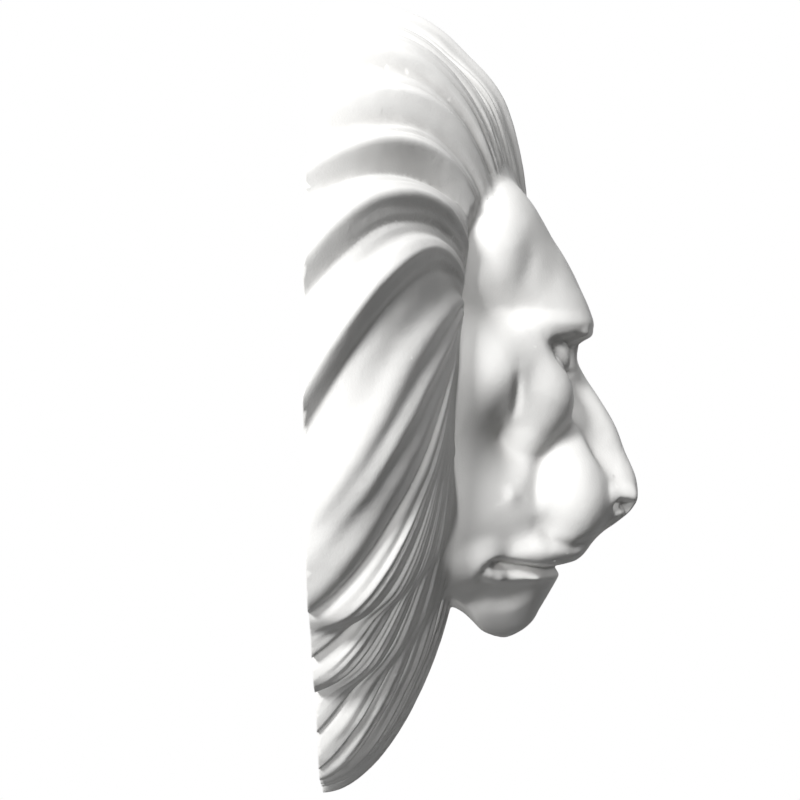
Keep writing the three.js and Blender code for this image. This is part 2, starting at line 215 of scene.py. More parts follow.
@dataclass(frozen=True)
class Dab:
    """A soft swelling, or with a negative rise a hollow, round a point."""

    at: Place
    reach: Place
    rise: float

    def offset(self, points: np.ndarray) -> np.ndarray:
        """Give how much the skin rises.

        Args:
            points: Places, one a row.

        Returns:
            The rise at each.
        """
        local = (points - np.array(self.at, np.float32)) / np.array(self.reach, np.float32)
        return self.rise * np.exp(-(local * local).sum(1))


@dataclass(frozen=True)
class Stroke:
    """A soft ridge, or with a negative rise a groove, along a line, easing off at its ends."""

    path: tuple[Place, ...]
    width: float
    rise: float
    fade: float = 0.25
    drawn: Drawn = Drawn.IN_SPACE

    def offset(self, points: np.ndarray) -> np.ndarray:
        """Give how much the skin rises.

        Args:
            points: Places, one a row.

        Returns:
            The rise at each.
        """
        weights = np.array(self.drawn.value, np.float32)
        line = np.array(self.path, np.float32) * weights
        points = points * weights
        lengths = np.linalg.norm(np.diff(line, axis=0), axis=1)
        run = np.concatenate([[0], np.cumsum(lengths)])
        nearest = np.full(len(points), np.inf, np.float32)
        where = np.zeros(len(points), np.float32)
        for i, length in enumerate(lengths):
            along = line[i + 1] - line[i]
            t = np.clip(((points - line[i]) @ along) / float(along @ along), 0, 1)
            gap = points - line[i] - t[:, None] * along
            square = (gap * gap).sum(1)
            closer = square < nearest
            nearest = np.where(closer, square, nearest)
            where = np.where(closer, (run[i] + t * length) / run[-1], where)
        ends = ENDS_KEPT + (1 - ENDS_KEPT) * smooth_step(np.minimum(where, 1 - where) / self.fade)
        return self.rise * ends * np.exp(-nearest / self.width ** 2)


SIDE, FRONT = Drawn.FROM_THE_SIDE, Drawn.FROM_THE_FRONT


@dataclass(frozen=True)
class Face:
    """The lion's face: a core that follows its profile, masses, a socket, an eye and lines.

    Strokes drawn from the side or from the front leave the coordinate that they don't use at 0.
    """

    front: Curve = Curve((
        (-118, 95), (-110, 104.5), (-102.5, 109), (-94, 113.5), (-86, 118.5), (-81, 122), (-73.5, 131.5),
        (-66, 139), (-60, 147.5), (-54, 154.5), (-47, 157.4), (-39, 156.6), (-25, 151), (-11, 145.5),
        (0.5, 138.5), (12, 131), (20, 127), (27, 126.5), (30, 129), (33, 132.5), (36.5, 134.2), (42, 133),
        (54, 128), (66.5, 122), (78.5, 114.5), (90.5, 107), (102, 98.5), (116, 88), (128, 60), (140, 0),
    ))
    under: Curve = Curve((
        (0, -92), (50, -96), (68, -103), (78, -112), (87, -117), (96, -118.5), (140, -118.5),
    ))
    core_fall: float = 10.0
    core_width: Curve = Curve((
        (-120, 12), (-108, 17), (-95, 21), (-84, 24), (-76, 24), (-62, 19), (-50, 19.5), (-38, 17),
        (-22, 14.5), (0, 15), (16, 17), (23, 22), (28.5, 34), (44, 37), (60, 38), (80, 40), (110, 38),
    ))
    core_power: Curve = Curve((
        (-120, 2.6), (-80, 2.4), (-50, 3.0), (-20, 2.6), (16, 2.6), (28, 4.0), (44, 3.6), (66, 3.0),
        (110, 2.8),
    ))
    chin_lift: float = 12.0
    chin_half: float = 30.0
    under_draw: float = 0.6  # how much of the core's fall shifts the line under the chin
    under_ease: float = 0.8  # evens the distance to the underside with that to the front
    chin_round: float = 5.0
    middle_round: float = 1.0  # rounds the crease where the two halves meet
    head: tuple[Mass | Limb, ...] = (
        Mass((0, 28, 28), (80, 58, 84), 20),  # skull
        Mass((35, 82, 72), (29, 22, 30), 13, yaw=-6),  # side of the forehead
        Mass((49, 68, 11), (29, 30, 25), 20, yaw=-28),  # cheek bone
        Limb((42, 97, 25), (56, 77, 17), 10, 13, 14),  # outer corner of the eye
        Mass((50, 55, -38), (23, 31, 44), 22, yaw=-14),  # side of the jaw
        Mass((17, 101, -31), (24, 30, 27), 16),  # top of the muzzle
        Mass((34, 78, -49), (27, 30, 30), 16),  # side of the muzzle
        Limb((10, 118, 4), (15, 115, 33), 7, 7, 7),  # from the nose up to the brow
        Mass((41, 100, 3), (22, 14, 18), 14, yaw=-56),  # pad under the eye
        Limb((39, 103, 0), (42, 98, -15), 12, 7, 15),  # its lower tip
        Mass((22.5, 114.5, -49), (22, 23, 24), 11, yaw=-8),  # whisker pad
        Mass((12, 94, -70), (42, 33, 14), 8),  # upper lip
        Mass((51, 75, -72), (15, 12, 12), 6),  # fold round the corner of the mouth
        Mass((10, 80, -88), (24, 29, 14), 10, yaw=-14),  # lower jaw
    )
    socket: Mass = Mass((30, 126, 20.5), (19, 13, 10.5), 1.0, yaw=-44, roll=-4)
    eye: tuple[Mass | Limb, ...] = (
        Mass((28, 105, 18.5), (18, 14, 20), 2.5, yaw=-42),  # eyeball and lids
        Limb((8, 130.8, 33), (29, 126, 32), 3, 2.4, 4),  # edge of the brow
        Limb((29, 126, 32), (44, 107, 31.4), 2.4, 2.6, 4),  # its outer half
        Limb((20, 141, -45.5), (12.5, 151, -47), 3.6, 4.2, 4),  # wing of the nose
    )
    lines: tuple[Stroke | Dab, ...] = (
        Dab((60, 88, 40), (26, 20, 11), -2.2),  # temple
        Dab((28, 116, 22), (9, 9, 6), 1.2),  # swell of the eyeball
        Stroke(((44, 104, 84), (50, 98, 62), (52, 94, 44)), 6, -1.5, 0.5, SIDE),  # beside the forehead's boss
        Stroke(((0, 0, 34), (0, 0, 48), (0, 0, 72)), 7, -2.2, 0.4, FRONT),  # furrow of the forehead
        Stroke(
            ((15, 0, 15), (19, 0, 22), (27, 0, 28.5), (36, 0, 30), (44, 0, 29)), 1.4, -1.5, 0.3, FRONT,
        ),  # edge of the upper lid
        Stroke(((14, 0, 14), (22, 0, 12), (31, 0, 15.5), (43, 0, 27)), 1.5, -2.0, 0.3, FRONT),  # lower lid
        Stroke(((18, 0, 12), (20, 0, -6), (21, 0, -26), (20, 0, -40)), 5, -1.8, 0.3, FRONT),  # nose's side
        Stroke(((0, 94, 14), (0, 86, -4), (0, 79, -18), (0, 74, -32)), 9, -2.0, 0.6, SIDE),  # under the cheek
        Dab((60, 84, -26), (30, 20, 16), -2.8),  # hollow of the cheek
        Dab((26, 58, -104), (14, 15, 14), -9),  # hollow behind the chin
        Stroke(((0, 93.5, 17), (0, 92.5, 4), (0, 92, -12)), 2.2, -1.4, 0.5, SIDE),  # behind the eye pad
        Stroke(
            ((0, 113, -20), (0, 106, -30), (0, 101.5, -42), (0, 102, -55)), 4.6, -1.5, 0.35, SIDE,
        ),  # behind the whisker pad
        Stroke(
            ((0, 103, -61), (0, 110, -67), (0, 122, -70), (0, 134, -66)), 3.0, -1.7, 0.3, SIDE,
        ),  # under the whisker pad
        Stroke(((0, 89, -37), (0, 91, -44), (0, 88, -50)), 3.5, 1.1, 0.5, SIDE),  # bump behind that furrow
        Stroke(
            ((0, 126, -81), (0, 119, -82.5), (0, 108, -81.5), (0, 95.5, -78), (0, 85.5, -76), (0, 80, -76.5)),
            2.4, -4.2, 0.1, SIDE,
        ),  # line of the mouth
        Stroke(((0, 86, -76), (0, 79, -77), (0, 76.5, -81), (0, 76, -88)), 2.4, -1.8, 0.3, SIDE),  # corner
        Stroke(((0, 79, -83), (0, 89, -85), (0, 101, -85), (0, 112, -84)), 3.8, 3.4, 0.25, SIDE),  # lower lip
        Stroke(((0, 64, -97), (0, 84, -95), (0, 106, -92)), 5.4, -4.2, 0.35, SIDE),  # below the lower lip
        Stroke(((0, 0, -55), (0, 0, -79)), 4.2, -4.6, 0.15, FRONT),  # cleft of the upper lip
        Stroke(((21, 143, -51), (16, 149.5, -51.5), (9, 154, -53)), 2.6, -8, 0.15),  # nostril
    )
    limit: float = math.radians(76)  # beyond this angle from straight ahead there is only mane
    farthest: float = 200.0
    nearest: float = 5.0
    march: float = 0.75  # share of the gap to the skin that one step takes
    least_step: float = 0.02
    close_enough: float = 0.06
    most_steps: int = 60

    def core(self, points: np.ndarray) -> np.ndarray:
        """Measure distances to the middle of the face, which falls back to both sides.

        Args:
            points: Places, one a row.

        Returns:
            Distances, negative inside.
        """
        across, forward, up = points.T
        width, power = self.core_width.at(up), self.core_power.at(up)
        share = np.abs(across) / width
        fall = self.core_fall * share ** power
        slope = self.core_fall * power / width * share ** (power - 1)
        lean = (self.front.at(up + 1) - self.front.at(up - 1)) / 2
        ahead = (forward + fall - self.front.at(up)) / np.sqrt(1 + slope * slope + lean * lean)
        bottom = self.under.at(forward + self.under_draw * fall)
        bottom = bottom + self.chin_lift * (across / self.chin_half) ** 2
        return smooth_max(ahead, (bottom - up) * self.under_ease, self.chin_round)

    def distance(self, points: np.ndarray) -> np.ndarray:
        """Measure distances to the face's skin; both halves of the face are alike.

        Args:
            points: Places, one a row.

        Returns:
            Distances, negative inside.
        """
        places = points.copy()
        places[:, 0] = np.sqrt(places[:, 0] ** 2 + self.middle_round ** 2)
        skin = self.core(places)
        for form in self.head:
            skin = smooth_min(skin, form.distance(places), form.blend)
        skin = smooth_max(skin, -self.socket.distance(places), self.socket.blend)
        for form in self.eye:
            skin = smooth_min(skin, form.distance(places), form.blend)
        for line in self.lines:
            skin = skin - line.offset(places)
        return skin

    def reach(self, rays: np.ndarray, centre: np.ndarray) -> np.ndarray:
        """Find how far the face reaches along rays.

        Args:
            rays: Unit rays, one a row.
            centre: Where the rays start.

        Returns:
            The reach along each ray.
        """
        reach = np.full(len(rays), self.farthest, np.float32)
        active = np.arange(len(rays))
        for _ in range(self.most_steps):
            gap = self.distance((centre + rays[active] * reach[active, None]).astype(np.float32))
            reach[active] -= np.maximum(gap * self.march, self.least_step)
            active = active[(gap > self.close_enough) & (reach[active] > self.nearest)]
            if len(active) == 0:
                break
        return reach


@dataclass(frozen=True)
class Mane:
    """The mane: a dome by angle from the top, in locks whose strands sweep back from the hairline."""

    rim: Curve = Curve((
        (0, 211.5), (11.6, 200), (22.7, 195), (28.5, 190), (34, 182), (40, 177), (47, 176), (54, 179),
        (60, 182), (67, 178), (79.7, 169), (93.5, 165), (99, 162), (105, 157), (111.8, 156),
        (121.6, 153), (129.2, 143), (140.6, 145), (148, 143), (158, 156), (166.6, 171), (176.8, 180),
        (180, 184.5),
    ))
    depth: Curve = Curve((
        (0, 106), (20, 96), (40, 86), (60, 76), (90, 72), (120, 73), (150, 74), (165, 76), (180, 76),
    ))
    power: Curve = Curve((
        (0, 3), (20, 2.8), (40, 2.4), (60, 2.2), (90, 2.1), (120, 2.2), (150, 2.2), (165, 1.9), (180, 1.8),
    ))  # how full the dome is
    hairline: Curve = Curve((
        (0, 46), (20, 52), (38, 60), (50, 58), (70, 54), (90, 53), (110, 53), (130, 53), (150, 53),
        (180, 52.5),
    ))
    start: Curve = Curve((
        (0, 0), (16, 12), (23, 17), (40, 27), (60, 39), (73, 48), (92, 54), (122, 63), (149, 70),
        (166, 78), (171, 105), (175, 140), (180, 180),
    ))
    turn: Curve = Curve((
        (0, 1.2), (23, 1.3), (60, 1.8), (92, 1.8), (105, 1.2), (122, 0.6), (149, 0.52), (166, 0.42),
        (180, 0.5),
    ))
    edges: tuple[float, ...] = (
        -8, 8, 16, 24, 34, 47, 60, 73, 92, 122, 136, 149, 158, 166, 170.5, 174, 177, 183,
    )  # where one lock ends and the next begins, as strands
    sharpness: Curve = Curve(((0, 0.9), (24, 0.9), (42, 0.1), (92, 0.1), (115, 1), (180, 1)))
    relief: float = 8.0
    relief_by_width: float = 0.34
    least_relief: float = 0.4
    root_relief: float = 0.45  # share of the relief at the hairline
    root_growth: float = 4.0
    tuft_step: float = 7.0  # how far the forelock stands above the hair behind it
    tuft_way: float = 0.3
    tuft_slope: float = 0.25
    tuft_end: float = 14.0
    tuft_ease: float = 12.0
    edge_drop: float = 26.0  # how steeply the mane ends inside the hairline
    edge_growth: float = 4.0
    edge_power: float = 1.5
    cut_depth: float = 5.0  # a deep cut between two locks, high on the side
    cut_strand: float = 59.0
    cut_width: float = 3.4
    cut_way: float = 0.42
    cut_length: float = 0.3
    crease: float = 0.955
    crease_power: float = 2.0
    crease_level: float = 0.6
    lean_more: float = 0.8  # how much sharp locks lean towards their lower edge
    lean_start: float = 60.0
    lean_span: float = 40.0
    low_start: float = 100.0  # the strand from which the locks count as low ones
    low_span: float = 20.0
    low_power: float = 1.6
    low_level: float = 0.15
    low_calm: float = 0.15
    soft_lean: float = 1.6
    soft_rise: float = 0.5
    strands: Curve = Curve(((0, 3), (24, 3), (42, 4), (92, 4), (115, 4), (180, 3)))  # in a lock
    strand_relief: float = 0.9
    strand_width: float = 5.0  # strands narrower than this lie lower, in millimetres
    strand_growth: float = 3.0  # how soon the strands come up at the hairline and fade at the rim
    least_strand: float = 0.15
    low_strand: float = 0.55
    soft_strand: float = 0.2
    strand_bunching: float = 0.05
    lock_offset: float = 7.0
    least_way: float = 1e-4
    held_way: float = 0.02
    way_step: float = 0.01
    halvings: int = 18

    def strand_angle(self, strand: np.ndarray, way: np.ndarray) -> np.ndarray:
        """Find where strands are round the face.

        Args:
            strand: Each strand's angle where it reaches the rim, in degrees.
            way: Share of the way from hairline to rim.

        Returns:
            The angles, in degrees.
        """
        start = self.start.at(strand)
        return start + (strand - start) * way ** self.turn.at(strand)

    def strand_at(self, angle: np.ndarray, way: np.ndarray) -> np.ndarray:
        """Find which strand passes a place, by halving.

        Args:
            angle: Angle round the face, in degrees.
            way: Share of the way from hairline to rim.

        Returns:
            The strands.
        """
        low, high = np.zeros_like(angle), np.full_like(angle, 180.0)
        way = np.clip(way, self.least_way, 1)
        for _ in range(self.halvings):
            strand = (low + high) / 2
            short = self.strand_angle(strand, way) < angle
            low, high = np.where(short, strand, low), np.where(short, high, strand)
        return (low + high) / 2

    def survey(self, around: np.ndarray, ahead: np.ndarray) -> dict[str, np.ndarray]:
        """Work out the mane along rays.

        Args:
            around: Angle round from the top, in radians.
            ahead: Angle from straight ahead, in radians.

        Returns:
            The reach, and the comb of the strands with its depth, in millimetres.
        """
        angle = np.degrees(around)
        rim, depth, power = self.rim.at(angle), self.depth.at(angle), self.power.at(angle)
        sine, cosine = np.sin(ahead), np.maximum(np.cos(ahead), 0)
        plain = 1 / ((sine / rim) ** power + (cosine / depth) ** power) ** (1 / power)
        hairline = self.hairline.at(angle)
        way = (np.degrees(ahead) - hairline) / (90 - hairline)
        strand = self.strand_at(angle, way)
        edges = np.array(self.edges, float)
        lock = np.clip(np.searchsorted(edges, strand, side="right") - 1, 0, len(edges) - 2)
        span = edges[lock + 1] - edges[lock]
        across = (strand - edges[lock]) / span
        sharp = self.sharpness.at(strand)
        low = smooth_step((strand - self.low_start) / self.low_span)
        lean = 1 + self.lean_more * sharp * np.clip((strand - self.lean_start) / self.lean_span, 0, 1)
        bowed = np.abs(2 * across ** lean - 1)
        hollow = self.crease * bowed ** (self.crease_power + self.low_power * low)
        crisp = np.sqrt(np.maximum(1 - hollow, 0)) - self.crease_level - self.low_level * low
        soft = -self.soft_rise * np.cos(2 * np.pi * across ** self.soft_lean)
        held = np.clip(way, self.held_way, 1)
        spread = self.strand_angle(strand + 0.5, held) - self.strand_angle(strand - 0.5, held)
        later, sooner = (self.strand_angle(strand, held + step) for step in (self.way_step, -self.way_step))
        tilt = sine * (later - sooner) / (2 * self.way_step) / (90 - hairline)
        width = np.radians(spread * span) * sine * plain / np.sqrt(1 + tilt * tilt)
        by_width = self.relief_by_width * (1 - self.low_calm * low)
        relief = np.clip(by_width * width, self.least_relief, self.relief)
        grown = self.root_relief + (1 - self.root_relief) * np.clip(way * self.root_growth, 0, 1)
        rise = relief * (soft * (1 - sharp) + crisp * sharp) * grown
        behind = smooth_step((way - self.tuft_way) / self.tuft_slope)
        rise = rise - self.tuft_step * behind * (1 - smooth_step((strand - self.tuft_end) / self.tuft_ease))
        rise = rise - self.edge_drop * np.clip(-way * self.edge_growth, 0, 1) ** self.edge_power
        from_cut = (strand - self.cut_strand) / self.cut_width, (way - self.cut_way) / self.cut_length
        rise = rise - self.cut_depth * np.exp(-(from_cut[0] ** 2 + from_cut[1] ** 2))
        count = np.round(self.strands.at((edges[lock] + edges[lock + 1]) / 2))
        bunched = across + self.strand_bunching * np.sin(2 * np.pi * across + lock)
        comb = count * bunched + lock * self.lock_offset
        shown = np.clip(width / count / self.strand_width, 0, 1) * np.clip(way * self.strand_growth + 1, 0, 1)
        shown = shown * np.clip((1 - way) * self.strand_growth, self.least_strand, 1)
        shown = shown * (1 - self.low_strand * low)
        comb_depth = self.strand_relief * shown * (self.soft_strand + (1 - self.soft_strand) * sharp)
        return {"reach": plain + rise, "comb": comb, "comb_depth": comb_depth}


@dataclass(frozen=True)
class PlasterFinish:
    """White cast plaster: matt, a little mottled, with fine pores and painted shade darkening its hollows."""

    colour: tuple[float, float, float] = (0.86, 0.855, 0.84)
    # painted shade: the darker colour mixed in where the skin lies in a hollow
    hollow: tuple[float, float, float] = (0.60, 0.59, 0.57)
    roughness: float = 0.78
    gloss: float = 0.25
    mottle_scale: float = 26.0
    mottle_range: tuple[float, float] = (0.3, 0.7)
    mottle_share: float = 0.12
    mottle_detail: float = 5.0
    pore_scale: float = 520.0
    pore_edge: float = 0.16
    grain_scale: float = 900.0
    grain_detail: float = 3.0
    bump_strength: float = 0.18
    bump_depth: float = 0.0004  # in metres

    def material(self) -> bpy.types.Material:
        """Build the plaster's node material.

        Returns:
            The material.
        """
        material = bpy.data.materials.new("cast_plaster")
        material.use_nodes = True
        nodes, links = material.node_tree.nodes, material.node_tree.links
        shader = nodes["Principled BSDF"]
        shader.inputs["Roughness"].default_value = self.roughness
        shader.inputs["Specular IOR Level"].default_value = self.gloss
        place = nodes.new("ShaderNodeTexCoord")
        mottle = nodes.new("ShaderNodeTexNoise")
        mottle.inputs["Scale"].default_value = self.mottle_scale
        mottle.inputs["Detail"].default_value = self.mottle_detail
        links.new(place.outputs["Object"], mottle.inputs["Vector"])
        shade = nodes.new("ShaderNodeMapRange")
        shade.inputs["From Min"].default_value = self.mottle_range[0]
        shade.inputs["From Max"].default_value = self.mottle_range[1]
        shade.inputs["To Min"].default_value = 0.0
        shade.inputs["To Max"].default_value = self.mottle_share
        links.new(mottle.outputs["Fac"], shade.inputs["Value"])
        # painted shade: the hollow attribute darkens the colour in creases and recesses, added to the random
        # mottle
        cavity = nodes.new("ShaderNodeAttribute")
        cavity.attribute_name = "hollow"
        mottle_and_shade = nodes.new("ShaderNodeMath")
        mottle_and_shade.operation = "ADD"
        mottle_and_shade.use_clamp = True
        links.new(shade.outputs["Result"], mottle_and_shade.inputs[0])
        links.new(cavity.outputs["Fac"], mottle_and_shade.inputs[1])
        tint = nodes.new("ShaderNodeMix")
        tint.data_type = "RGBA"
        tint.inputs["A"].default_value = (*self.colour, 1)
        tint.inputs["B"].default_value = (*self.hollow, 1)
        links.new(mottle_and_shade.outputs["Value"], tint.inputs["Factor"])
        links.new(tint.outputs["Result"], shader.inputs["Base Color"])
        grain = nodes.new("ShaderNodeTexNoise")
        grain.inputs["Scale"].default_value = self.grain_scale
        grain.inputs["Detail"].default_value = self.grain_detail
        links.new(place.outputs["Object"], grain.inputs["Vector"])
        pores = nodes.new("ShaderNodeTexVoronoi")
        pores.inputs["Scale"].default_value = self.pore_scale
        links.new(place.outputs["Object"], pores.inputs["Vector"])
        pit = nodes.new("ShaderNodeMapRange")
        pit.inputs["From Min"].default_value = 0.0
        pit.inputs["From Max"].default_value = self.pore_edge
        links.new(pores.outputs["Distance"], pit.inputs["Value"])
        height = nodes.new("ShaderNodeMath")
        height.operation = "ADD"
        links.new(grain.outputs["Fac"], height.inputs[0])
        links.new(pit.outputs["Result"], height.inputs[1])
        bump = nodes.new("ShaderNodeBump")
        bump.inputs["Strength"].default_value = self.bump_strength
        bump.inputs["Distance"].default_value = self.bump_depth
        links.new(height.outputs["Value"], bump.inputs["Height"])
        links.new(bump.outputs["Normal"], shader.inputs["Normal"])
        return material


@dataclass(frozen=True)
class Noise:
    """A noise in space: its scale, its detail and a seed that sets it apart from the others."""

    scale: float
    detail: float
    seed: float = 0.0

    def node(self, tree: bpy.types.NodeTree) -> bpy.types.Node:
        """Add the noise to a node tree.

        Args:
            tree: The node tree.

        Returns:
            The noise's node.
        """
        node = tree.nodes.new("ShaderNodeTexNoise")
        node.noise_dimensions = "4D"
        node.inputs["W"].default_value = self.seed
        node.inputs["Scale"].default_value = self.scale
        node.inputs["Detail"].default_value = self.detail
        return node


@dataclass
class LionMask:
    """The casting: face and mane as one closed skin on a flat back."""

    face: Face = field(default_factory=Face)
    mane: Mane = field(default_factory=Mane)
    finish: PlasterFinish = field(default_factory=PlasterFinish)
    columns: int = 960
    rings: int = 440
    coarse_columns: int = 97  # the coarse survey that spaces the rings
    coarse_rings: int = 110
    longest_step: float = 12.0
    step_passes: int = 6
    sweep: float = math.radians(20)  # how far the columns drift down towards the rim, with the hair
    sweep_start: float = 45.0
    blend: float = 4.0
    evening: int = 3
    most_faces: int = 192000
    layout: Place = (340.6, 157.5, 394.2)  # across, forward and up over all, in the layout's millimetres
    depth: float = 0.157  # the mask's own depth and height, in metres
    height: float = 0.396
    centre: Place = (0.0, 0.0, -10.0)
    strand_strength: float = 1.0
    strand_wander: float = 0.35  # how far strands stray from their line
    strand_drift: Noise = Noise(28.0, 1.0, seed=3.0)
    strand_swell: Noise = Noise(9.0, 0.0)  # makes some strands stronger than others
    swell_step: float = 0.13  # how much the swell's seed changes from one strand to the next
    swell_gain: float = 2.2
    hand: float = 0.00022  # unevenness of the carver's hand, in metres
    hand_touch: Noise = Noise(95.0, 2.0, seed=8.0)
    on_wall: float = -0.0002  # what lies behind this stays flat against the wall, in metres

    def reach(self, around: np.ndarray, ahead: np.ndarray) -> dict[str, np.ndarray]:
        """Find the skin along rays.

        Args:
            around: Angle round from the top, in radians.
            ahead: Angle from straight ahead, in radians.

        Returns:
            The rays, the reach along them, and the comb of the strands with its depth.
        """
        rays = np.stack([np.sin(ahead) * np.sin(around), np.cos(ahead), np.sin(ahead) * np.cos(around)], -1)
        hair = self.mane.survey(around, ahead)
        face = np.zeros(len(around))
        near = ahead < self.face.limit
        face[near] = self.face.reach(rays[near].astype(np.float32), np.array(self.centre, np.float32))
        skin = smooth_max(face, hair["reach"], self.blend)
        hairy = smooth_step((hair["reach"] - face) / self.blend)
        return {"rays": rays, "reach": skin, "comb": hair["comb"], "comb_depth": hair["comb_depth"] * hairy}

    def ring_angles(self, around: np.ndarray) -> np.ndarray:
        """Space the rings evenly over the skin, from a coarse survey of it.

        Args:
            around: The columns' angles round from the top.

        Returns:
            Angles ahead, one row for each column.
        """
        coarse_around = np.linspace(0, math.pi, self.coarse_columns)
        coarse_ahead = np.linspace(0, math.pi / 2, self.coarse_rings)
        turn, lift = np.meshgrid(coarse_around, coarse_ahead, indexing="ij")
        found = self.reach(turn.ravel(), lift.ravel())
        skin = (found["rays"] * found["reach"][:, None]).reshape(*turn.shape, 3)
        step = np.minimum(np.linalg.norm(np.diff(skin, axis=1), axis=2), self.longest_step)
        for _ in range(self.step_passes):
            step = np.concatenate([step[:1], (step[:-2] + 2 * step[1:-1] + step[2:]) / 4, step[-1:]], 0)
            inner = (step[:, :-2] + 2 * step[:, 1:-1] + step[:, 2:]) / 4
            step = np.concatenate([step[:, :1], inner, step[:, -1:]], 1)
        run = np.concatenate([np.zeros((len(step), 1)), np.cumsum(step, 1)], 1)
        wanted = np.linspace(0, 1, self.rings)
        even = np.stack([np.interp(wanted, row / row[-1], coarse_ahead) for row in run])
        return np.stack([np.interp(around, coarse_around, even[:, j]) for j in range(self.rings)], 1)

    def half(self) -> tuple[np.ndarray, np.ndarray, np.ndarray]:
        """Work out the right half of the skin.

        Returns:
            Places in millimetres, the comb of the strands and its depth, by column and ring.
        """
        turn = np.linspace(0, math.pi, self.columns // 2 + 1)
        ahead = self.ring_angles(turn)
        around = np.repeat(turn[:, None], self.rings, 1)
        swept = smooth_step((np.degrees(ahead) - self.sweep_start) / (90 - self.sweep_start))
        around = around + self.sweep * np.sin(around) * swept
        found = self.reach(around.ravel(), ahead.ravel())
        reach = self.evened(found["reach"].reshape(around.shape))
        places = np.array(self.centre) + found["rays"].reshape(*around.shape, 3) * reach[..., None]
        places[0, :, 0] = places[-1, :, 0] = 0
        places[:, -1, 1] = 0
        return places, found["comb"].reshape(around.shape), found["comb_depth"].reshape(around.shape)

    def evened(self, reach: np.ndarray) -> np.ndarray:
        """Take the steps out of the skin where it drops steeply along the rays.

        Args:
            reach: The reach of the skin, by column and ring.

        Returns:
            The evened reach.
        """
        for _ in range(self.evening):
            wide = np.concatenate([reach[1:2], reach, reach[-2:-1]], 0)
            wide = (wide[:-2] + 2 * wide[1:-1] + wide[2:]) / 4
            inner = (wide[:, :-2] + 2 * wide[:, 1:-1] + wide[:, 2:]) / 4
            reach = np.concatenate([wide[:, :1], inner, wide[:, -1:]], 1)
        return reach

    def placed(self, places: np.ndarray, side: Side) -> np.ndarray:
        """Move places from the layout to the casting.

        Args:
            places: Places in the layout, in millimetres.
            side: The half to put them on.

        Returns:
            Places on the casting, in metres.
        """
        low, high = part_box("lion_mask")
        scale = np.array([high[0] - low[0], self.depth, self.height]) / np.array(self.layout)
        return places * np.array([side.value, -1, 1]) * scale

    def sheet(self) -> bpy.types.Object:
        """Lay the skin and its flat back out as one closed mesh, with the comb as attributes.

        Returns:
            The object that holds the mesh.
        """
        places, comb, depth = self.half()
        right, left = self.placed(places, Side.RIGHT), self.placed(places, Side.LEFT)[1:-1][::-1]
        skin = np.concatenate([right, left], 0)
        comb = np.concatenate([comb, comb[1:-1][::-1]], 0)
        depth = np.concatenate([depth, depth[1:-1][::-1]], 0)
        count, inner = len(skin), self.rings - 1
        nose, back = count * inner, count * inner + 1
        middle = np.array([[0, 0, self.centre[2] * METRES]])
        vertices = np.concatenate([skin[:, 1:].reshape(-1, 3), skin[:1, 0], middle])
        column, ring = np.meshgrid(np.arange(count), np.arange(inner - 1), indexing="ij")
        here, there = column * inner + ring, (column + 1) % count * inner + ring
        quads = np.stack([here, there, there + 1, here + 1], -1).reshape(-1, 4)
        first = np.arange(count) * inner
        after = np.roll(first, -1)
        tip = np.stack([np.full(count, nose), after, first], 1)
        flat = np.stack([np.full(count, back), first + inner - 1, after + inner - 1], 1)
        mesh = bpy.data.meshes.new("carved_lion")
        mesh.from_pydata(vertices.tolist(), [], quads.tolist() + tip.tolist() + flat.tolist())
        for name, values in (("comb", comb), ("comb_depth", depth * METRES)):
            flow = mesh.attributes.new(name, "FLOAT", "POINT")
            flow.data.foreach_set("value", np.concatenate([values[:, 1:].ravel(), [0, 0]]).astype(np.float32))
        sheet = bpy.data.objects.new("carved_lion", mesh)
        bpy.context.collection.objects.link(sheet)
        return sheet

    def settings(self) -> dict[str, float]:
        """Gather the combing's settings.

        Returns:
            Each setting by the name of its socket.
        """
        return {
            "Strand relief": self.strand_strength,
            "Strand wander": self.strand_wander,
            "Hand unevenness": self.hand,
        }

    def combing(self, material: bpy.types.Material) -> bpy.types.NodeTree:
        """Build the node tree that combs strands into the locks and roughens the skin by hand.

        Args:
            material: What the result is made of.

        Returns:
            The node tree.
        """
        tree = bpy.data.node_groups.new("combed_strands", "GeometryNodeTree")
        tree.interface.new_socket("Geometry", in_out="INPUT", socket_type="NodeSocketGeometry")
        for name, value in self.settings().items():
            setting = tree.interface.new_socket(name, in_out="INPUT", socket_type="NodeSocketFloat")
            setting.default_value = value
        tree.interface.new_socket("Geometry", in_out="OUTPUT", socket_type="NodeSocketGeometry")
        nodes, links = tree.nodes, tree.links
        entry, exit_node = nodes.new("NodeGroupInput"), nodes.new("NodeGroupOutput")

        def attribute(name: str) -> bpy.types.NodeSocket:
            """Read a named attribute of the sheet.

            Args:
                name: The attribute.

            Returns:
                Its values.
            """
            node = nodes.new("GeometryNodeInputNamedAttribute")
            node.inputs["Name"].default_value = name
            return node.outputs["Attribute"]

        def joined(
            kind: str, first: bpy.types.NodeSocket, second: bpy.types.NodeSocket | float
        ) -> bpy.types.NodeSocket:
            """Join two values with a math node.

            Args:
                kind: The operation.
                first: First value.
                second: Second value, or a number.

            Returns:
                The result.
            """
            node = nodes.new("ShaderNodeMath")
            node.operation = kind
            links.new(first, node.inputs[0])
            if isinstance(second, float):
                node.inputs[1].default_value = second
            else:
                links.new(second, node.inputs[1])
            return node.outputs["Value"]

